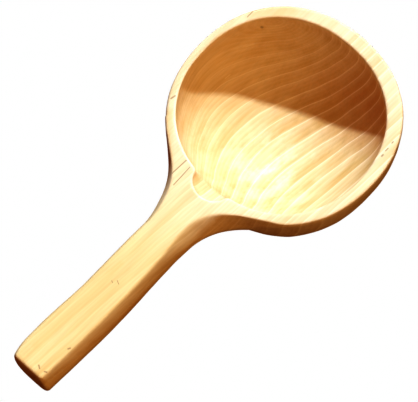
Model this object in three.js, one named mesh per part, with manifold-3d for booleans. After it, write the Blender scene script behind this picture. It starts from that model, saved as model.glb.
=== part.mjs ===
// A plain wooden ladle carved from one billet: a round, deep bowl and a short, stout handle whose
// top face runs level with the bowl's rim. Millimetres, +Z up. The origin is on the flat foot under
// the bowl, on the handle's centre line, and the handle points along -Y.

import * as THREE from 'three';
import Module from 'manifold-3d';
import { mergeVertices } from 'three/addons/utils/BufferGeometryUtils.js';

const wasm = await Module();
wasm.setup();

const { clamp, degToRad, lerp } = THREE.MathUtils;

// Driving dimensions. A squareness is the power of a superellipse: 2 is round, more is squarer.
const HEIGHT = 52; // foot to rim
const BOWL_RADIUS = 60.4; // outside of the bowl, along and across the handle
const BOWL_CENTRE = [0.4, 0]; // a touch to the right of the handle's line
const BOWL_SQUARENESS = 2.18; // seen from above
const WALL_SQUARENESS = 2.4; // seen from the side
const FOOT_CUT = 1.1; // how much deeper the bowl would be without its flat foot
const RIM_EDGE = 0.8; // width of the broken edge around the rim

const HOLLOW = {
  centre: [-0.9, -1.4],
  halfWidth: 54.6,
  halfLength: 53.2,
  depth: 43,
  squareness: 2.15,
  wallSquareness: 2,
};

// The last scoop of the gouge, where the hollow runs out towards the handle.
const GOUGE = {
  centre: [-1.6, -54],
  halfWidth: 10.8,
  halfLength: 9,
  depth: 6.5,
  squareness: 2,
  wallSquareness: 2,
};

const NECK_ANGLE = 133; // where the neck's curve leaves the bowl, in degrees from the far tip
const NECK_CURVE = [
  [33.4, -55],
  [12.8, -60.5],
];
const NECK_ROOT = -22; // the neck starts inside the bowl's wall
const NECK_DEPTH = 46; // there, and it thins towards the handle
const HANDLE_START = -95; // where the neck has run out into the straight handle
const HANDLE_END = -191.7;
const HANDLE_DEPTH = 14.5; // where the straight handle starts
const HANDLE_END_DEPTH = 17;
const HANDLE_SWELL = [-98, -178]; // where it gets from the one to the other
const HANDLE_SQUARENESS = 3; // of its underside

// The neck and handle are a little different on each side. The flare is where it starts to widen
// towards the end, and the draw is how it narrows again at the very end. The edges are the widths
// of the rounded edge along the handle and at the neck. The bulge moves the neck's flank outwards,
// or inwards where it is below zero. Its underside gets squarer over the neckRange.
const LEFT = {
  side: -1,
  startHalfWidth: 13.4,
  widestHalfWidth: 15,
  flareStart: -135,
  flareEnd: -172,
  drawLength: 15,
  drawIn: 2.2,
  drawPower: 2.4,
  edge: 1.9,
  neckEdge: 3.6,
  neckBulge: 1.7,
  neckSquareness: 3.4,
  neckRange: [-95, -70],
};
const RIGHT = {
  side: 1,
  startHalfWidth: 11.8,
  widestHalfWidth: 12.9,
  flareStart: -95,
  flareEnd: -135,
  drawLength: 45,
  drawIn: 1.6,
  drawPower: 1.4,
  edge: 5,
  neckEdge: 8.3,
  neckBulge: -1,
  neckSquareness: 3.2,
  neckRange: [-74, -52],
};

// A rounded edge as steps of its width: how far in, and how far down.
const EDGE_STEPS = [
  [1, 0],
  [0.78, 0.13],
  [0.5, 0.39],
  [0.22, 0.72],
];
const EDGE_DROP = 1.7; // its height over its width
const EDGE_DROP_LIMIT = 8.5; // and its height at the most

// How finely the shape is divided.
const ROUND_SEGMENTS = 72;
const WALL_RINGS = 10;
const HOLLOW_RINGS = 12;
const NECK_STATIONS = 16;
const HANDLE_STATIONS = 14;

function smoothstep(from, to, value) {
  const t = clamp((value - from) / (to - from), 0, 1);
  return t * t * (3 - 2 * t);
}

// A power of a sine or cosine that keeps its sign, so that it traces a superellipse.
function signedPower(value, power) {
  return Math.sign(value) * Math.abs(value) ** power;
}

function superellipse(angle, halfX, halfY, squareness) {
  const x = halfX * signedPower(Math.cos(angle), 2 / squareness);
  const y = halfY * signedPower(Math.sin(angle), 2 / squareness);
  return [x, y];
}

// A closed shell, skinned from one row of points to the next.
class Shell {
  constructor() {
    this.positions = [];
  }

  triangle(a, b, c) {
    const area = b.clone().sub(a).cross(c.clone().sub(a)).length();
    if (area > 1e-6) {
      this.positions.push(...a.toArray(), ...b.toArray(), ...c.toArray());
    }
  }

  skin(row, next) {
    for (let i = 0; i + 1 < row.length; i++) {
      this.triangle(row[i], next[i + 1], row[i + 1]);
      this.triangle(row[i], next[i], next[i + 1]);
    }
  }

  skinAll(rows) {
    for (let i = 0; i + 1 < rows.length; i++) {
      this.skin(rows[i], rows[i + 1]);
    }
  }

  solid() {
    const soup = new THREE.BufferGeometry();
    soup.setAttribute('position', new THREE.Float32BufferAttribute(this.positions, 3));
    const merged = mergeVertices(soup, 1e-4);
    const mesh = new wasm.Mesh({
      numProp: 3,
      vertProperties: Float32Array.from(merged.attributes.position.array),
      triVerts: Uint32Array.from(merged.index.array),
    });
    return new wasm.Manifold(mesh);
  }
}

// A closed loop of points at one height.
function ring([centreX, centreY], halfX, halfY, z, squareness) {
  const points = [];
  for (let i = 0; i <= ROUND_SEGMENTS; i++) {
    const angle = (2 * Math.PI * (i % ROUND_SEGMENTS)) / ROUND_SEGMENTS;
    const [x, y] = superellipse(angle, halfX, halfY, squareness);
    points.push(new THREE.Vector3(centreX + x, centreY + y, z));
  }
  return points;
}

// The bowl before it is hollowed, from the middle of its top face down to its foot.
function bowlBlank() {
  const at = (radius, z) => ring(BOWL_CENTRE, radius, radius, z, BOWL_SQUARENESS);
  const rings = [at(0, HEIGHT)];
  for (const [inward, down] of EDGE_STEPS) {
    rings.push(at(BOWL_RADIUS - inward * RIM_EDGE, HEIGHT - down * RIM_EDGE * EDGE_DROP));
  }
  const wallTop = HEIGHT - RIM_EDGE * EDGE_DROP;
  const footAngle = Math.asin((1 / FOOT_CUT) ** (WALL_SQUARENESS / 2));
  for (let i = 0; i <= WALL_RINGS; i++) {
    const angle = (footAngle * i) / WALL_RINGS;
    const [radius, sink] = superellipse(angle, BOWL_RADIUS, wallTop * FOOT_CUT, WALL_SQUARENESS);
    rings.push(at(radius, wallTop - sink));
  }
  rings.push(at(0, 0));
  const shell = new Shell();
  shell.skinAll(rings);
  return shell.solid();
}

// A round pit that is taken away, closed a little above the top face.
function pit({ centre, halfWidth, halfLength, depth, squareness, wallSquareness }) {
  const above = HEIGHT + 5;
  const rings = [
    ring(centre, 0, 0, above, squareness),
    ring(centre, halfWidth, halfLength, above, squareness),
  ];
  for (let j = 0; j <= HOLLOW_RINGS; j++) {
    const fall = (Math.PI / 2) * (j / HOLLOW_RINGS);
    const [spread, sink] = superellipse(fall, 1, depth, wallSquareness);
    rings.push(ring(centre, halfWidth * spread, halfLength * spread, HEIGHT - sink, squareness));
  }
  const shell = new Shell();
  shell.skinAll(rings);
  return shell.solid();
}

// Outline stations of one side of the neck and handle, seen from above, as [half width, y].
function sideStations(shape) {
  const angle = Math.PI / 2 - degToRad(NECK_ANGLE);
  const [x, y] = superellipse(angle, BOWL_RADIUS, BOWL_RADIUS, BOWL_SQUARENESS);
  const neck = new THREE.CubicBezierCurve(
    new THREE.Vector2(x, y),
    new THREE.Vector2(...NECK_CURVE[0]),
    new THREE.Vector2(...NECK_CURVE[1]),
    new THREE.Vector2(shape.startHalfWidth, HANDLE_START),
  );
  const stations = [[x, NECK_ROOT]];
  for (const point of neck.getPoints(NECK_STATIONS)) {
    const swell = smoothstep(-42, -58, point.y) * smoothstep(HANDLE_START, -75, point.y);
    stations.push([point.x + shape.neckBulge * swell, point.y]);
  }
  for (let i = 1; i <= HANDLE_STATIONS; i++) {
    const along = lerp(HANDLE_START, HANDLE_END, (i / HANDLE_STATIONS) ** 0.75);
    const flare = smoothstep(shape.flareStart, shape.flareEnd, along);
    const draw = clamp(1 - (along - HANDLE_END) / shape.drawLength, 0, 1);
    const widest = lerp(shape.startHalfWidth, shape.widestHalfWidth, flare);
    stations.push([widest - shape.drawIn * draw ** shape.drawPower, along]);
  }
  return stations;
}

// Width of the rounded edge between the top face and a side.
function edgeWidth(y, { edge, neckEdge }) {
  const width = lerp(neckEdge, edge, smoothstep(-74, -104, y));
  return lerp(RIM_EDGE, width, smoothstep(-44, -68, y));
}

function undersideDepth(y) {
  const run = clamp((y - NECK_ROOT) / (HANDLE_START - NECK_ROOT), 0, 1);
  const neck = (NECK_DEPTH - HANDLE_DEPTH) * (1 - run) ** 3;
  return neck + lerp(HANDLE_DEPTH, HANDLE_END_DEPTH, smoothstep(...HANDLE_SWELL, y));
}

// One side of a section across the neck or handle: from the top face over the rounded edge and
// down to the middle of the underside.
function halfSection([halfWidth, y], sideShape) {
  const edge = edgeWidth(y, sideShape);
  const drop = Math.min(edge * EDGE_DROP, EDGE_DROP_LIMIT);
  const flank = undersideDepth(y) - drop;
  const neckShare = smoothstep(...sideShape.neckRange, y);
  const squareness = lerp(HANDLE_SQUARENESS, sideShape.neckSquareness, neckShare);
  const at = (x, z) => new THREE.Vector3(sideShape.side * x, y, z);
  const points = EDGE_STEPS.map(([inward, down]) => {
    return at(halfWidth - inward * edge, HEIGHT - down * drop);
  });
  for (let i = 0; i <= WALL_RINGS; i++) {
    const angle = (Math.PI / 2) * (i / WALL_RINGS);
    const [x, sink] = superellipse(angle, halfWidth, flank, squareness);
    points.push(at(i < WALL_RINGS ? x : 0, HEIGHT - drop - sink));
  }
  return points;
}

// The neck and handle, as a loop of points at each station and a flat fan at both ends.
function handleBlank() {
  const left = sideStations(LEFT);
  const right = sideStations(RIGHT);
  const loops = right.map((station, i) => {
    const down = halfSection(station, RIGHT);
    const up = halfSection(left[i], LEFT).reverse();
    return [...down, ...up.slice(1), down[0]];
  });
  const fan = (loop) => {
    const centre = new THREE.Vector3(0, loop[0].y, HEIGHT - HANDLE_DEPTH / 2);
    return loop.map(() => centre);
  };
  const shell = new Shell();
  shell.skinAll([fan(loops[0]), ...loops, fan(loops.at(-1))]);
  return shell.solid();
}

function carvedLadle() {
  const carved = bowlBlank().add(handleBlank()).subtract(pit(HOLLOW)).subtract(pit(GOUGE));
  const mesh = carved.getMesh();
  const geometry = new THREE.BufferGeometry();
  geometry.setAttribute('position', new THREE.BufferAttribute(mesh.vertProperties, 3));
  geometry.setIndex(new THREE.BufferAttribute(mesh.triVerts, 1));
  geometry.computeVertexNormals();
  return geometry;
}

const wood = new THREE.MeshStandardMaterial({
  name: 'pale_wood',
  color: new THREE.Color().setRGB(0.86, 0.66, 0.38),
  roughness: 0.6,
  metalness: 0,
});

const ladle = new THREE.Mesh(carvedLadle(), wood);
ladle.name = 'ladle';

const group = new THREE.Group();
group.name = 'carved_ladle';
group.add(ladle);

export default group;
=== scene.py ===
"""A plain wooden ladle carved from one billet, for Blender 4.5.

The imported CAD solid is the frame. Its one node is replaced by a finer mesh of the same shape, cut out of
a field of signed distances, with softened edges and the slight unevenness of handwork. The wood is a
procedural material with real growth rings: cylinders round a pith line at the billet's top left.
Shapes are worked out in millimetres and turned into metres at the end.
"""

import math

import bmesh
import bpy
import numpy as np
from mathutils import Matrix, Vector, noise


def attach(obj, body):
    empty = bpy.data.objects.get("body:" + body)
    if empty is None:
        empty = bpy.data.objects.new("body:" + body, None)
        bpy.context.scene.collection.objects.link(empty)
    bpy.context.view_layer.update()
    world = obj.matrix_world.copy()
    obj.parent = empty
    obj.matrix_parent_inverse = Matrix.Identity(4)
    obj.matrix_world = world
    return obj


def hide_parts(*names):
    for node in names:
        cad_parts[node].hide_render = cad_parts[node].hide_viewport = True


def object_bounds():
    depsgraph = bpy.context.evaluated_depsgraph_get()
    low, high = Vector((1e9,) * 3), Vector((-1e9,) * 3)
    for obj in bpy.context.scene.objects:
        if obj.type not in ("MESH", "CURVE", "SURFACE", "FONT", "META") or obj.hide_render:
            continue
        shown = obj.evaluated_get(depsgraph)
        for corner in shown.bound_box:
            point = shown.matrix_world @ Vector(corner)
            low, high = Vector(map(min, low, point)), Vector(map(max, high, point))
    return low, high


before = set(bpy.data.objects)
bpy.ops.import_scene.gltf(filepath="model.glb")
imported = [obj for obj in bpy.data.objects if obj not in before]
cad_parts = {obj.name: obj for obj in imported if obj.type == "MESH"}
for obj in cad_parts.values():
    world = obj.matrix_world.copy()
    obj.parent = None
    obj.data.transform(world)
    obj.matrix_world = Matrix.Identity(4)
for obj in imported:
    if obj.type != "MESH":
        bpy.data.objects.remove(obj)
cad_low, cad_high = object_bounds()

MM = 0.001

# The driving dimensions, in millimetres. The overall ones come from the frame.
HEIGHT = cad_high.z / MM
BOWL_RADIUS = (cad_high.x - cad_low.x) / 2 / MM
BOWL_CENTRE = (cad_high.x + cad_low.x) / 2 / MM
HANDLE_END = cad_low.y / MM

# A squareness is the power of a superellipse: 2 is round, more is squarer.
BOWL_SQUARENESS = 2.18
WALL_SQUARENESS = 2.4
FOOT_CUT = 1.1
RIM_EDGE = 0.8

HOLLOW = {
    "centre": (-0.9, -1.4),
    "half_width": 54.6,
    "half_length": 53.2,
    "depth": 43.0,
    "squareness": 2.15,
    "wall_squareness": 2.0,
}
GOUGE = {
    "centre": (-1.6, -54.0),
    "half_width": 10.8,
    "half_length": 9.0,
    "depth": 6.5,
    "squareness": 2.0,
    "wall_squareness": 2.0,
}

NECK_ANGLE = 133.0
NECK_CURVE = ((33.4, -55.0), (12.8, -60.5))
NECK_ROOT = -22.0
NECK_DEPTH = 46.0
HANDLE_START = -95.0
HANDLE_DEPTH = 14.5
HANDLE_END_DEPTH = 17.0
HANDLE_SWELL = (-98.0, -178.0)
HANDLE_SQUARENESS = 3.0

# The neck and handle differ on each side. The flare is where a side starts to widen and where it is widest,
# along Y, and the draw is how it narrows at the very end. The edges are the widths of the rounded top edge.
# The neck's bulge moves its flank outwards, or inwards where it is below zero.
LEFT = {
    "start_half_width": 13.4,
    "widest_half_width": 15.0,
    "flare": (-135.0, -172.0),
    "draw_length": 15.0,
    "draw_in": 2.2,
    "draw_power": 2.4,
    "edge": 1.9,
    "neck_edge": 3.6,
    "neck_bulge": 1.7,
    "neck_squareness": 3.4,
    "neck_range": (-95.0, -70.0),
}
RIGHT = {
    "start_half_width": 11.8,
    "widest_half_width": 12.9,
    "flare": (-95.0, -135.0),
    "draw_length": 45.0,
    "draw_in": 1.6,
    "draw_power": 1.4,
    "edge": 5.0,
    "neck_edge": 8.3,
    "neck_bulge": -1.0,
    "neck_squareness": 3.2,
    "neck_range": (-74.0, -52.0),
}
EDGE_DROP = 1.7
EDGE_DROP_LIMIT = 8.5
EDGE_POWER = 1.35
CURVE_SAMPLES = 200

# How far each kind of edge is softened by use and by sanding.
TOP_SOFTENING = 0.5
RIM_SOFTENING = 1.1
END_SOFTENING = 2.2
FOOT_SOFTENING = 1.0
GOUGE_SOFTENING = 2.0

# Where the neck's flank swells and ends its swelling, and where its top edge grows and narrows, along Y.
NECK_SWELL_START = (-42.0, -58.0)
NECK_SWELL_END = (HANDLE_START, -75.0)
EDGE_GROWS = (-44.0, -68.0)
EDGE_NARROWS = (-74.0, -104.0)

# The neck meets the bowl in a fillet, sharp at the top and full from some way below the rim.
NECK_FILLET = 7.0
NECK_FILLET_TOP = 0.4
NECK_FILLET_DEPTHS = (8.0, 30.0)

# Places where wood has been knocked off: a centre in the air beside it, and how far the dent reaches.
DENTS = (((61.0, 17.4, 53.0), 1.9), ((-1.5, -193.2, 33.2), 3.4))
DENT_SOFTENING = 0.8

# The grid that the mesh is cut from, the room left round the ladle in it, and how far to either side a
# slope is measured.
GRID_STEP = 0.88
GRID_MARGIN = 2.3 * GRID_STEP
SLOPE_STEP = 0.02

# How often the mesh is drawn to the surface and evened out.
SETTLE_ROUNDS = 2
RELAX_ROUNDS = 4


def smoothstep(start, end, value):
    t = np.clip((value - start) / (end - start), 0, 1)
    return t * t * (3 - 2 * t)


def lerp(a, b, t):
    return a + (b - a) * t


def soft_max(a, b, width):
    """The larger of two fields, with the edge between them rounded over a width."""
    overlap = np.maximum(width - np.abs(a - b), 0)
    return np.maximum(a, b) + overlap * overlap / (4 * width)


def soft_min(a, b, width):
    return -soft_max(-a, -b, width)


def bezier(points, t):
    """A cubic curve through the plane, at each value of t."""
    a, b, c, d = (np.array(p)[:, None] for p in points)
    return (1 - t) ** 3 * a + 3 * (1 - t) ** 2 * t * b + 3 * (1 - t) * t**2 * c + t**3 * d


def half_width(side, y):
    """Half the width of one side of the neck and handle."""
    angle = math.pi / 2 - math.radians(NECK_ANGLE)
    leave = [
        math.copysign(abs(turn) ** (2 / BOWL_SQUARENESS), turn) * BOWL_RADIUS
        for turn in (math.cos(angle), math.sin(angle))
    ]
    ends = (leave, *NECK_CURVE, (side["start_half_width"], HANDLE_START))
    curve_x, curve_y = bezier(ends, np.linspace(0, 1, CURVE_SAMPLES))
    neck = np.interp(y, curve_y[::-1], curve_x[::-1])
    swell = smoothstep(*NECK_SWELL_START, y) * smoothstep(*NECK_SWELL_END, y)
    neck = neck + side["neck_bulge"] * swell
    flare = smoothstep(*side["flare"], y)
    draw = np.clip(1 - (y - HANDLE_END) / side["draw_length"], 0, 1)
    handle = lerp(side["start_half_width"], side["widest_half_width"], flare)
    handle = handle - side["draw_in"] * draw ** side["draw_power"]
    return np.where(y > HANDLE_START, neck, handle)


def edge_width(side, y):
    """Width of the rounded edge between the top face and one side."""
    width = lerp(side["neck_edge"], side["edge"], smoothstep(*EDGE_NARROWS, y))
    return lerp(RIM_EDGE, width, smoothstep(*EDGE_GROWS, y))


def section_squareness(side, y):
    """How square one side of the neck's or handle's underside is."""
    return lerp(HANDLE_SQUARENESS, side["neck_squareness"], smoothstep(*side["neck_range"], y))


def superellipsoid(across, down, radius, depth, squareness):
    """Below zero inside a round form that is widest at the top."""
    sink = np.maximum(down, 0) / depth
    reach = ((across / radius) ** squareness + sink**squareness) ** (1 / squareness)
    return (reach - 1) * (radius + depth) / 2


def pit(x, y, z, shape):
    """Below zero inside a pit that is cut down from the top face."""
    across = np.abs((x - shape["centre"][0]) / shape["half_width"])
    along = np.abs((y - shape["centre"][1]) / shape["half_length"])
    plan = (across ** shape["squareness"] + along ** shape["squareness"]) ** (1 / shape["squareness"])
    return superellipsoid(
        plan * shape["half_width"],
        HEIGHT - z,
        shape["half_width"],
        shape["depth"],
        shape["wall_squareness"],
    )


def hollow_field(x, y, z):
    """Below zero in the bowl's hollow and in the gouge that runs into it."""
    return soft_min(pit(x, y, z, HOLLOW), pit(x, y, z, GOUGE), GOUGE_SOFTENING)


def ladle_field(x, y, z):
    """About the signed distance to the ladle's surface, in millimetres, below zero in the wood."""
    right = x > 0
    width = np.where(right, half_width(RIGHT, y), half_width(LEFT, y))
    edge = np.where(right, edge_width(RIGHT, y), edge_width(LEFT, y))
    drop = np.minimum(edge * EDGE_DROP, EDGE_DROP_LIMIT)
    from_centre = np.abs(x - BOWL_CENTRE)
    plan = (from_centre**BOWL_SQUARENESS + np.abs(y) ** BOWL_SQUARENESS) ** (1 / BOWL_SQUARENESS)

    wall_top = HEIGHT - RIM_EDGE * EDGE_DROP
    bowl = superellipsoid(plan, wall_top - z, BOWL_RADIUS, wall_top * FOOT_CUT, WALL_SQUARENESS)

    run = np.clip((y - NECK_ROOT) / (HANDLE_START - NECK_ROOT), 0, 1)
    depth = lerp(HANDLE_DEPTH, HANDLE_END_DEPTH, smoothstep(*HANDLE_SWELL, y))
    depth = depth + (NECK_DEPTH - HANDLE_DEPTH) * (1 - run) ** 3 - drop
    squareness = np.where(right, section_squareness(RIGHT, y), section_squareness(LEFT, y))
    sink = np.maximum(HEIGHT - drop - z, 0) / depth
    reach = ((np.abs(x) / width) ** squareness + sink**squareness) ** (1 / squareness)
    handle = (reach - 1) * np.minimum(width, depth)
    handle = np.maximum(handle, y - NECK_ROOT)

    below = smoothstep(*NECK_FILLET_DEPTHS, HEIGHT - z)
    body = soft_min(bowl, handle, lerp(NECK_FILLET_TOP, NECK_FILLET, below))

    inset = np.maximum(BOWL_RADIUS - plan, np.where(y < NECK_ROOT, width - np.abs(x), -1))
    short = np.clip(1 - inset / edge, 0, 1)
    slope = drop / edge * EDGE_POWER * short ** (EDGE_POWER - 1)
    top = (z - HEIGHT + drop * short**EDGE_POWER) / np.sqrt(1 + slope * slope)

    body = soft_max(body, top, TOP_SOFTENING)
    body = soft_max(body, HANDLE_END - y, END_SOFTENING)
    body = soft_max(body, -z, FOOT_SOFTENING)
    body = soft_max(body, -hollow_field(x, y, z), RIM_SOFTENING)
    for centre, radius in DENTS:
        away = np.sqrt((x - centre[0]) ** 2 + (y - centre[1]) ** 2 + (z - centre[2]) ** 2)
        body = soft_max(body, radius - away, DENT_SOFTENING)
    return body


def gradient(points):
    """The field and its gradient at each point."""
    value = ladle_field(*points.T)
    slopes = []
    for axis in range(3):
        step = np.zeros(3)
        step[axis] = SLOPE_STEP
        ahead = ladle_field(*(points + step).T)
        behind = ladle_field(*(points - step).T)
        slopes.append((ahead - behind) / (2 * SLOPE_STEP))
    return value, np.stack(slopes, 1)


def settle(points, times, most):
    """Moves points onto the surface of the field."""
    for _ in range(times):
        value, slope = gradient(points)
        steepness = np.maximum(np.sum(slope * slope, 1), 1e-6)
        move = -np.clip(value / steepness, -most, most)[:, None] * slope
        points = points + move
    return points


# A grid cell's corners, and the pairs of them that its edges join.
CORNERS = np.array([(i, j, k) for i in (0, 1) for j in (0, 1) for k in (0, 1)])
CELL_EDGES = [
    (first, second)
    for first in range(8)
    for second in range(first + 1, 8)
    if np.abs(CORNERS[first] - CORNERS[second]).sum() == 1
]


def cell_points(value, cells):
    """The middle of the places where the surface crosses each cell's edges, in grid steps."""
    corner_value = np.stack([value[tuple((cells + c).T)] for c in CORNERS], 1)
    places = np.zeros((len(cells), 3))
    crossings = np.zeros(len(cells))
    for first, second in CELL_EDGES:
        a, b = corner_value[:, first], corner_value[:, second]
        crosses = (a < 0) != (b < 0)
        share = np.where(crosses, a / np.where(crosses, a - b, 1), 0)[:, None]
        place = CORNERS[first] + share * (CORNERS[second] - CORNERS[first])
        places += np.where(crosses[:, None], place, 0)
        crossings += crosses
    return cells + places / crossings[:, None]


def cell_quads(inside, number):
    """A quad round each grid edge that the surface crosses, between the points of the cells about it."""
    steps = np.eye(3, dtype=int)
    quads = []
    for axis in range(3):
        step, across, up = steps[axis], steps[(axis + 1) % 3], steps[(axis + 2) % 3]
        ends = [slice(None, -1) if s else slice(None) for s in step]
        starts = [slice(1, None) if s else slice(None) for s in step]
        leaving = inside[tuple(ends)] & ~inside[tuple(starts)]
        entering = ~inside[tuple(ends)] & inside[tuple(starts)]
        around = [-across - up, -up, np.zeros(3, int), -across]
        for found, order in ((leaving, around), (entering, around[::-1])):
            edges = np.argwhere(found)
            quads.append(np.stack([number[tuple((edges + o).T)] for o in order], 1))
    return np.concatenate(quads)


def surface_net():
    """A mesh of even quads over the field's surface: one point in each grid cell that it crosses."""
    low = np.array(cad_low) / MM - GRID_MARGIN
    high = np.array(cad_high) / MM + GRID_MARGIN
    counts = np.ceil((high - low) / GRID_STEP).astype(int)
    axes = [low[a] + GRID_STEP * np.arange(counts[a] + 1) for a in range(3)]
    value = ladle_field(*np.meshgrid(*axes, indexing="ij"))
    inside = value < 0

    shifted = [tuple(slice(c, c + n) for c, n in zip(corner, counts)) for corner in CORNERS]
    total = sum(inside[s].astype(np.int8) for s in shifted)
    cells = np.argwhere((total > 0) & (total < len(CORNERS)))
    number = np.full(counts, -1)
    number[tuple(cells.T)] = np.arange(len(cells))
    return low + GRID_STEP * cell_points(value, cells), cell_quads(inside, number)


def relax(points, quads, times):
    """Evens out the quads: a point goes half way to its neighbours' middle, then to the surface."""
    links = np.concatenate([quads[:, [i, (i + 1) % 4]] for i in range(4)])
    degree = np.bincount(links.ravel(), minlength=len(points))
    for _ in range(times):
        sums = np.zeros_like(points)
        for axis in range(3):
            sums[:, axis] += np.bincount(links[:, 0], points[links[:, 1], axis], len(points))
            sums[:, axis] += np.bincount(links[:, 1], points[links[:, 0], axis], len(points))
        points = lerp(points, sums / degree[:, None], 0.5)
        points = settle(points, 1, GRID_STEP)
    return points


def mesh_from(name, points, quads):
    mesh = bpy.data.meshes.new(name)
    mesh.vertices.add(len(points))
    mesh.vertices.foreach_set("co", (points * MM).astype(np.float32).ravel())
    mesh.loops.add(quads.size)
    mesh.loops.foreach_set("vertex_index", quads.astype(np.int32).ravel())
    mesh.polygons.add(len(quads))
    mesh.polygons.foreach_set("loop_start", np.arange(0, quads.size, 4, dtype=np.int32))
    mesh.polygons.foreach_set("use_smooth", np.ones(len(quads), bool))
    mesh.update(calc_edges=True)
    mesh.validate()
    return mesh


# Where a stroke starts to show and where it is full, in half widths from its middle.
STROKE_OUTSIDE = 1.3
STROKE_INSIDE = 0.3


class Shading:
    """Makes and links a material's nodes, so that its pattern reads as a formula."""

    def __init__(self, name):
        self.material = bpy.data.materials.new(name)
        self.material.use_nodes = True
        self.tree = self.material.node_tree
        self.surface = self.tree.nodes["Principled BSDF"]

    def put(self, socket, value):
        if isinstance(value, bpy.types.NodeSocket):
            self.tree.links.new(value, socket)
        else:
            socket.default_value = value

    def node(self, kind, inputs, **settings):
        made = self.tree.nodes.new("ShaderNode" + kind)
        for name, value in settings.items():
            setattr(made, name, value)
        for name, value in inputs.items():
            self.put(made.inputs[name], value)
        return made

    def maths(self, operation, *values):
        made = self.node("Math", dict(enumerate(values)), operation=operation)
        return made.outputs["Value"]

    def vector(self, operation, *values, output="Vector"):
        made = self.node("VectorMath", dict(enumerate(values)), operation=operation)
        return made.outputs[output]

    def scaled(self, value, factor):
        made = self.node("VectorMath", {0: value, "Scale": factor}, operation="SCALE")
        return made.outputs["Vector"]

    def ramp(self, value, *stops):
        """A smooth curve through (position, height) stops."""
        made = self.node("ValToRGB", {"Fac": value})
        points = made.color_ramp.elements
        made.color_ramp.interpolation = "B_SPLINE" if len(stops) > 3 else "EASE"
        while len(points) < len(stops):
            points.new(0.5)
        for point, (position, height) in zip(points, stops):
            point.position = position
            point.color = (height, height, height, 1)
        return made.outputs["Color"]

    def mix(self, share, first, second, blend="MIX"):
        made = self.node("Mix", {}, data_type="RGBA", blend_type=blend, clamp_result=False)
        self.put(made.inputs[0], share)
        self.put(made.inputs[6], first)
        self.put(made.inputs[7], second)
        return made.outputs[2]

    def between(self, value, start, end):
        """Nothing up to the start, one from the end on, and even steps in between."""
        inputs = {"Value": value, "From Min": start, "From Max": end}
        return self.node("MapRange", inputs).outputs["Result"]

    def linear(self, value, factor, base):
        return self.maths("ADD", self.maths("MULTIPLY", value, factor), base)

    def stroke(self, place, start, end, half_width):
        """One along the line between two points, fading out around the half width."""
        span = Vector(end) - Vector(start)
        off = self.vector("SUBTRACT", place, start)
        along = self.vector("DOT_PRODUCT", off, tuple(span / span.length_squared), output="Value")
        share = self.node("Clamp", {"Value": along}).outputs["Result"]
        off = self.vector("SUBTRACT", off, self.scaled(tuple(span), share))
        away = self.vector("LENGTH", off, output="Value")
        return self.between(away, half_width * STROKE_OUTSIDE, half_width * STROKE_INSIDE)

    def strokes(self, place, marks):
        """All of the marks together."""
        total = 0.0
        for mark in marks:
            total = self.maths("MAXIMUM", total, self.stroke(place, *mark))
        return total

    def marked(self, colour, place, marks, share, mark_colour):
        """The colour with some marks drawn over it."""
        return self.mix(self.maths("MULTIPLY", self.strokes(place, marks), share), colour, mark_colour)

    def noise(self, place, size, detail=3.0, roughness=0.5, output="Fac"):
        """Noise whose features are about size millimetres along X, Y and Z."""
        stretched = self.vector("MULTIPLY", place, [1 / s for s in size])
        inputs = {"Vector": stretched, "Scale": 1.0, "Detail": detail, "Roughness": roughness}
        return self.node("TexNoise", inputs).outputs[output]


# The tree's pith passes through the bowl's mouth, 12 mm inside its left edge, nearly along the handle.
PITH = (-43.5, 0.0, 51.6)
PITH_DIRECTION = Vector((0.06, 1.0, -0.101)).normalized()
RING_WIDTH = 5.95
RING_START = 35.2
RING_WAVER = 6.0
RING_UNEVENNESS = 0.5
FINE_RING_WIDTH = 1.9

# How late wood grows across one ring, and the pale line where the next one starts.
LATE_WOOD = ((0.0, 0.0), (0.12, 0.15), (0.45, 0.45), (0.80, 1.0), (0.93, 0.85), (1.0, 0.0))
RING_LINE = ((0.0, 1.0), (0.07, 0.0), (0.95, 0.0), (1.0, 1.0))

# Sizes of the wood's other patterns along X, Y and Z, in millimetres.
WAVER_SIZE = (34, 80, 34)
FIBRE_SIZE = (1.1, 26, 1.1)
STREAK_SIZE = (6.5, 110, 6.5)
PATCH_SIZE = (24, 40, 24)
# The next size is that of the mottles in a painted highlight on the bowl's bottom.
SHEEN_SIZE = (9, 16, 9)

# Zones of the ladle, in millimetres: each starts at the first value and is full at the second.
DEEP_ZONE = (51.5, 45.0)  # down from the rim
FAR_ZONE = (-15.0, 20.0)  # along Y
# The next zone and the red one further down place painted shade on the hollow's far right wall.
SHADE_RED_ALONG = (16.0, 40.0)  # along Y
HANDLED_ZONE = (-50.0, -105.0)  # along Y
CLEAR_ZONE = (12.0, 32.0)  # out from the pith
SHADE_RED_ZONE = (30.0, 75.0)  # out from the pith
PLAIN_ZONE = (62.0, 18.0)  # in towards the pith
# The scuffs of the next zone are a painted highlight, a sheen where the key light glances off the bowl.
SHEEN_ZONE = (36.0, 10.0)  # in towards the middle of the scuffs

# How strongly each pattern shows. A pair is a factor and what it is added to.
PLAIN_SHARE = 0.8
FINE_SHARE = 0.22
STREAK_SHARE = 0.30
FAR_RINGS = (0.5, 0.75)
DEEP_RINGS = (0.45, 0.46)
SHADE_RED_SHARE = 0.7
LINE_SHARE = 0.50
HANDLED_LINE_SHARE = 0.4
FAR_LINE_SHARE = 0.45
# The next share is the painted sheen's, and the one after it the painted rim glint's.
SHEEN_SHARE = 0.3
GLINT_SHARE = 0.7
WARM_SHARE = 0.4
MARK_SHARE = 0.6
FIBRE_GREY = (0.26, 0.87)
FIBRE_ROUGHNESS = (0.25, 0.36)
LATE_HEIGHT = 0.25
BUMP_STRENGTH = 0.25
BUMP_HEIGHT = 0.4 * MM
SPECULAR_LEVEL = 0.12

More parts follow.
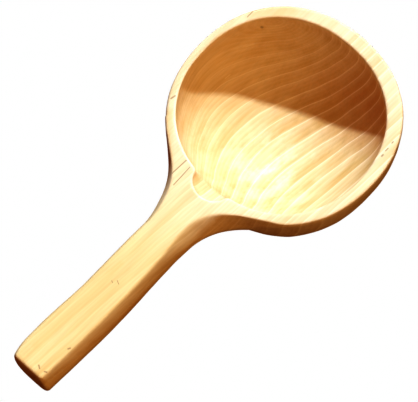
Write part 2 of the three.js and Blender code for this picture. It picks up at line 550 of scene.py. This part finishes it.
PALE_WOOD = (0.79, 0.595, 0.375, 1)
RING_WOOD = (0.63, 0.39, 0.15, 1)
LINE_WOOD = (0.90, 0.72, 0.47, 1)
# A painted highlight colour, for the sheen in the bowl and the glint on the rim.
PAINTED_HIGHLIGHT = (0.90, 0.80, 0.62, 1)
HANDLED_TINT = (0.97, 0.90, 0.72, 1)
# A painted shade tint: the surfaces below the top faces come out darker than the lit rim and handle top.
BELOW_TOP_SHADE = (0.97, 0.93, 0.84, 1)
# A painted shade colour: deep red for the shadowed far right wall of the hollow.
SHADE_RED_WOOD = (0.60, 0.22, 0.04, 1)
DARK_MARK = (0.24, 0.10, 0.03, 1)
WARM_MARK = (0.70, 0.42, 0.16, 1)
PALE_MARK = (0.85, 0.66, 0.40, 1)
PLAIN_LATE = (0.22, 0.22, 0.22, 1)

# Where a painted highlight, a mottled sheen from the key light, lies on the bottom of the bowl.
SHEEN_CENTRE = (6.0, -16.0, 11.0)

# Small blemishes, each a short stroke between two points with a half width, in millimetres.
NECK_CRACKS = (
    ((-20.5, -64, 52), (-20, -53.5, 52), 0.35),
    ((-15.5, -68, 52), (-16, -55, 52), 0.3),
)
RIM_NICKS = (
    ((-49.5, -33.5, 52), (-49, -31, 52), 0.5),
    ((-51.5, 27.5, 52), (-51.5, 32, 52), 0.3),
    ((53.5, 17, 52), (53.5, 18, 52), 0.5),
    ((53, 20.5, 52), (53, 22.5, 52), 0.35),
    ((52.5, 26, 52), (52.5, 27, 52), 0.4),
)
PIN_KNOT = ((-44.5, 31, 43.5), (-44, 31, 43), 0.9)
HANDLE_SPECKS = (
    ((-3, -128, 52), (-2, -128.5, 52), 0.3),
    ((-1, -126, 52), (1, -127, 52), 0.25),
    ((6, -170, 52), (6.5, -169, 52), 0.5),
    ((1, -186.5, 52), (2.5, -187.5, 52), 0.45),
    ((5.5, -187, 52), (6.5, -186.5, 52), 0.45),
)
DARK_MARKS = (*NECK_CRACKS, *RIM_NICKS, PIN_KNOT, *HANDLE_SPECKS)

# Broad warm streaks on the far left rim, from the left rim into the neck and on the handle; in the gouge,
# painted shade.
WARM_STREAKS_AND_SHADE = (
    ((-52, 32, 52), (-37, 46, 52), 5),
    ((-46, -40, 52), (-25, -62, 52), 2.5),
    ((-12, -56, 50), (-11, -59, 48), 2.5),
    ((-6, -118, 52), (-8, -180, 52), 2),
)

# Two scratches in the hollow's left wall.
PALE_MARKS = (
    ((-46, 20, 33.5), (-44, 24, 33.5), 0.3),
    ((-44, 1.5, 25.5), (-43.5, 5, 25.5), 0.3),
)


def growth_rings(wood, place):
    """Rings round the pith, a little wavy and of uneven width.

    Gives the wavy place, the distance from the pith, the late wood and the pale lines.
    """
    waver = wood.noise(place, WAVER_SIZE, detail=2.0, output="Color")
    waver = wood.vector("SUBTRACT", waver, (0.5, 0.5, 0.5))
    waver = wood.vector("MULTIPLY", waver, (RING_WAVER, 0.0, RING_WAVER))
    wavy = wood.vector("ADD", place, waver)
    off = wood.vector("SUBTRACT", wavy, PITH)
    along = wood.vector("DOT_PRODUCT", off, PITH_DIRECTION, output="Value")
    off = wood.vector("SUBTRACT", off, wood.scaled(tuple(PITH_DIRECTION), along))
    radius = wood.vector("LENGTH", off, output="Value")
    uneven = wood.node("TexNoise", {"W": radius, "Scale": 0.11, "Detail": 1.0}, noise_dimensions="1D")
    ring = wood.maths("DIVIDE", wood.maths("SUBTRACT", radius, RING_START), RING_WIDTH)
    ring = wood.maths("ADD", ring, wood.maths("MULTIPLY", uneven.outputs["Fac"], RING_UNEVENNESS))
    share = wood.maths("FRACT", ring)
    plain = wood.maths("MULTIPLY", wood.between(radius, *PLAIN_ZONE), PLAIN_SHARE)
    late = wood.mix(plain, wood.ramp(share, *LATE_WOOD), PLAIN_LATE)
    line = wood.maths("MULTIPLY", wood.ramp(share, *RING_LINE), wood.between(radius, *CLEAR_ZONE))
    return wavy, radius, late, line


def wood_tone(wood, place, radius, late, deep, far):
    """How dark the wood is: from the rings, the finer rings between them, and streaks along the grain."""
    patch = wood.ramp(wood.noise(place, PATCH_SIZE, detail=3.0), (0.3, 0.35), (0.7, 1.0))
    streak = wood.ramp(wood.noise(place, STREAK_SIZE, detail=2.0), (0.35, 0.0), (0.7, 1.0))
    fine = wood.maths("FRACT", wood.maths("DIVIDE", radius, FINE_RING_WIDTH))
    fine = wood.ramp(fine, (0.0, 0.0), (0.8, 1.0), (1.0, 0.0))
    tone = wood.maths("MULTIPLY", wood.maths("MULTIPLY", late, patch), wood.linear(far, *FAR_RINGS))
    tone = wood.maths("ADD", tone, wood.maths("MULTIPLY", fine, FINE_SHARE))
    tone = wood.maths("MULTIPLY", tone, wood.linear(deep, *DEEP_RINGS))
    return wood.maths("ADD", tone, wood.maths("MULTIPLY", streak, STREAK_SHARE))


def with_painted_highlights(wood, colour, place):
    """The colour with painted highlights: a sheen in the bowl's bottom and a pale glint on the inner rim.
    """
    away = wood.vector("LENGTH", wood.vector("SUBTRACT", place, SHEEN_CENTRE), output="Value")
    sheen = wood.noise(place, SHEEN_SIZE, detail=4.0, roughness=0.6)
    sheen = wood.ramp(sheen, (0.42, 0.0), (0.66, 1.0))
    sheen = wood.maths("MULTIPLY", wood.between(away, *SHEEN_ZONE), sheen)
    colour = wood.mix(wood.maths("MULTIPLY", sheen, SHEEN_SHARE), colour, PAINTED_HIGHLIGHT)
    glint_mask = wood.node("Attribute", {}, attribute_name="glint").outputs["Fac"]
    return wood.mix(wood.maths("MULTIPLY", glint_mask, GLINT_SHARE), colour, PAINTED_HIGHLIGHT)


def wood_material():
    wood = Shading("pale_wood")
    place = wood.scaled(wood.node("TexCoord", {}).outputs["Object"], 1 / MM)
    wavy, radius, late, line = growth_rings(wood, place)
    fibre = wood.noise(place, FIBRE_SIZE, detail=5.0, roughness=0.65)

    lengthways, height = wood.node("SeparateXYZ", {0: place}).outputs[1:]
    deep = wood.between(height, *DEEP_ZONE)
    far = wood.between(lengthways, *FAR_ZONE)
    shade_along = wood.between(lengthways, *SHADE_RED_ALONG)
    handled = wood.between(lengthways, *HANDLED_ZONE)

    colour = wood.mix(wood_tone(wood, place, radius, late, deep, far), PALE_WOOD, RING_WOOD)
    # Painted shade: deeper red on the far right wall of the hollow, which lies in the key light's shadow.
    painted_shade = wood.maths("MULTIPLY", wood.between(radius, *SHADE_RED_ZONE), shade_along)
    painted_shade = wood.maths("MULTIPLY", painted_shade, wood.maths("MULTIPLY", deep, SHADE_RED_SHARE))
    colour = wood.mix(painted_shade, colour, SHADE_RED_WOOD)
    # Painted shade: the colour is a little darker below the top faces, which catch the key light.
    colour = wood.mix(deep, colour, wood.mix(1.0, colour, BELOW_TOP_SHADE, "MULTIPLY"))
    strong = wood.maths("SUBTRACT", LINE_SHARE, wood.maths("MULTIPLY", handled, HANDLED_LINE_SHARE))
    strong = wood.maths("ADD", strong, wood.maths("MULTIPLY", far, FAR_LINE_SHARE))
    colour = wood.mix(wood.maths("MULTIPLY", line, strong), colour, LINE_WOOD)
    colour = wood.mix(handled, colour, wood.mix(1.0, colour, HANDLED_TINT, "MULTIPLY"))
    grey = wood.linear(fibre, *FIBRE_GREY)
    grey = wood.node("CombineXYZ", {0: grey, 1: grey, 2: grey}).outputs[0]
    colour = wood.mix(1.0, colour, grey, "MULTIPLY")

    colour = with_painted_highlights(wood, colour, place)
    # Warm streaks, with painted shade on the gouge's left wall.
    colour = wood.marked(colour, wavy, WARM_STREAKS_AND_SHADE, WARM_SHARE, WARM_MARK)
    colour = wood.marked(colour, place, DARK_MARKS, MARK_SHARE, DARK_MARK)
    colour = wood.marked(colour, place, PALE_MARKS, MARK_SHARE, PALE_MARK)

    hill = wood.maths("ADD", fibre, wood.maths("MULTIPLY", late, LATE_HEIGHT))
    bump = wood.node("Bump", {"Height": hill, "Strength": BUMP_STRENGTH, "Distance": BUMP_HEIGHT})
    surface = wood.surface.inputs
    wood.put(surface["Base Color"], colour)
    wood.put(surface["Roughness"], wood.linear(fibre, *FIBRE_ROUGHNESS))
    wood.put(surface["Normal"], bump.outputs["Normal"])
    surface["Specular IOR Level"].default_value = SPECULAR_LEVEL
    return wood.material


# Handwork leaves broad waves and small ripples, in millimetres: how wide and how deep.
WAVES = ((21.0, 0.22), (6.5, 0.07))
FLAT_FOOT = (0.2, 3.0)

# A painted highlight glints in a thin line along the hollow's edge on the rim. Each zone is bare at the
# first
# value and full at the second: away from the hollow's surface, then along Z, X and Y; the last is fainter
# by the gouge.
GLINT_REACH = (0.9, 0.1)
GLINT_HEIGHTS = (50.4, 51.5)
GLINT_ACROSS = (30, -10)
GLINT_ALONG = (10, -15)
GLINT_FAINT = (-52, -40)
GLINT_FAINTNESS = 0.75


def handwork(points):
    """Moves the surface in and out a little, as a knife and sandpaper leave it, but not the foot."""
    slope = gradient(points)[1]
    normal = slope / np.linalg.norm(slope, axis=1)[:, None]
    above_foot = smoothstep(*FLAT_FOOT, points[:, 2])
    for width, depth in WAVES:
        height = np.array([noise.noise(Vector(point) / width) for point in points])
        points = points + normal * (depth * height * above_foot)[:, None]
    return points


def painted_rim_glint(points):
    """How strongly the painted rim glint shows at each point, from nothing to one."""
    x, y, z = points.T
    glint = smoothstep(*GLINT_REACH, np.abs(hollow_field(x, y, z))) * smoothstep(*GLINT_HEIGHTS, z)
    glint = glint * smoothstep(*GLINT_ACROSS, x) * smoothstep(*GLINT_ALONG, y)
    return glint * lerp(GLINT_FAINTNESS, 1.0, smoothstep(*GLINT_FAINT, y))


def make_ladle():
    points, quads = surface_net()
    points = settle(points, SETTLE_ROUNDS, GRID_STEP)
    points = relax(points, quads, RELAX_ROUNDS)
    points = handwork(points)
    points = np.clip(points, np.array(cad_low) / MM, np.array(cad_high) / MM)
    ladle = bpy.data.objects.new("carved_ladle", mesh_from("carved_ladle", points, quads))
    # Each point keeps how strongly the painted rim glint shows there.
    stored = ladle.data.attributes.new("glint", "FLOAT", "POINT")
    stored.data.foreach_set("value", painted_rim_glint(points).astype(np.float32))
    bpy.context.scene.collection.objects.link(ladle)
    ladle.data.materials.append(wood_material())
    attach(ladle, "root")
    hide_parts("ladle")


def direction(azimuth, elevation):
    """Towards a place that is seen from the ladle at these angles; azimuth 0 is along -Y."""
    turn, rise = math.radians(azimuth), math.radians(elevation)
    return Vector((math.sin(turn) * math.cos(rise), -math.cos(turn) * math.cos(rise), math.sin(rise)))


# The camera stands where the photograph was taken from, high over the handle's end and to the right.
VIEW_AZIMUTH = 45.73
VIEW_ELEVATION = 69.63
VIEW_ROLL = -3.0
VIEW_DISTANCE = 1.983
VIEW_AIM = Vector((4.16, -62.09, 52.0)) * MM
LENS = 329.1
SENSOR = 36.0
CLIP_END = 20.0


def make_camera():
    back = direction(VIEW_AZIMUTH, VIEW_ELEVATION)
    data = bpy.data.cameras.new("camera")
    data.lens = LENS
    data.sensor_width = SENSOR
    camera = bpy.data.objects.new("camera", data)
    turn = (-back).to_track_quat("-Z", "Y").to_matrix().to_4x4()
    place = Matrix.Translation(VIEW_AIM + back * VIEW_DISTANCE)
    camera.matrix_world = place @ turn @ Matrix.Rotation(math.radians(VIEW_ROLL), 4, "Z")
    data.clip_end = CLIP_END
    bpy.context.scene.collection.objects.link(camera)
    bpy.context.scene.camera = camera


# The backdrop's size, and how far below the foot its floor lies, so that the two don't flicker.
BACKDROP_RADIUS = 9.0
FLOOR_GAP = 0.1 * MM

# The key light comes over the bowl's far left rim, and its edge of shadow crosses the hollow.
KEY_DIRECTION = direction(208.4, 48)
KEY_ENERGY = 5.9
KEY_WIDTH = 2.5
KEY_COLOUR = (0.68, 1.0, 1.34)

# A wide, warm fill from the right softens the shaded side.
FILL_DIRECTION = direction(94, 44)
FILL_ENERGY = 1.35
FILL_WIDTH = 70
FILL_COLOUR = (1.0, 0.85, 0.42)

# The room's light is orange, and weaker from below than from the sides and above.
ROOM_COLOUR = (1.0, 0.28, 0.04, 1)
ROOM_HEIGHTS = (-0.5, 0.3)
ROOM_STRENGTHS = (0.10, 0.28)

# Below one, this darkens the shaded parts more than the lit ones, as in the photograph.
DISPLAY_GAMMA = 0.66


def make_sun(name, towards, energy, width, colour):
    data = bpy.data.lights.new(name, "SUN")
    data.energy = energy
    data.angle = math.radians(width)
    data.color = colour
    sun = bpy.data.objects.new(name, data)
    sun.rotation_euler = towards.to_track_quat("Z", "Y").to_euler()
    bpy.context.scene.collection.objects.link(sun)


def make_lights():
    make_sun("key", KEY_DIRECTION, KEY_ENERGY, KEY_WIDTH, KEY_COLOUR)
    make_sun("fill", FILL_DIRECTION, FILL_ENERGY, FILL_WIDTH, FILL_COLOUR)
    world = bpy.data.worlds.new("room")
    bpy.context.scene.world = world
    world.use_nodes = True
    nodes, links = world.node_tree.nodes, world.node_tree.links
    background = nodes["Background"]
    background.inputs["Color"].default_value = ROOM_COLOUR
    looking = nodes.new("ShaderNodeSeparateXYZ")
    links.new(nodes.new("ShaderNodeTexCoord").outputs["Generated"], looking.inputs["Vector"])
    strength = nodes.new("ShaderNodeMapRange")
    links.new(looking.outputs["Z"], strength.inputs["Value"])
    ends = zip(("Min", "Max"), ROOM_HEIGHTS, ROOM_STRENGTHS)
    for end, height, level in ends:
        strength.inputs["From " + end].default_value = height
        strength.inputs["To " + end].default_value = level
    links.new(strength.outputs["Result"], background.inputs["Strength"])


def glow_material():
    material = bpy.data.materials.new("white_backdrop")
    material.use_nodes = True
    nodes, links = material.node_tree.nodes, material.node_tree.links
    nodes.clear()
    glow = nodes.new("ShaderNodeEmission")
    glow.inputs["Color"].default_value = (1, 1, 1, 1)
    output = nodes.new("ShaderNodeOutputMaterial")
    links.new(glow.outputs["Emission"], output.inputs["Surface"])
    return material


def make_backdrop():
    """A plain white floor inside a white dome. Neither lights the ladle nor takes its shadow."""
    material = glow_material()
    for name in ("floor", "dome"):
        shape = bmesh.new()
        if name == "floor":
            bmesh.ops.create_grid(shape, size=BACKDROP_RADIUS)
        else:
            bmesh.ops.create_uvsphere(shape, u_segments=48, v_segments=24, radius=BACKDROP_RADIUS)
        mesh = bpy.data.meshes.new(name)
        shape.to_mesh(mesh)
        shape.free()
        mesh.materials.append(material)
        stage = bpy.data.objects.new(name, mesh)
        stage.location.z = -FLOOR_GAP
        bpy.context.scene.collection.objects.link(stage)
        stage.visible_diffuse = False
        stage.visible_glossy = False
        stage.visible_shadow = False


make_ladle()
make_camera()
make_lights()
make_backdrop()
bpy.context.scene.view_settings.view_transform = "Standard"
bpy.context.scene.view_settings.gamma = DISPLAY_GAMMA
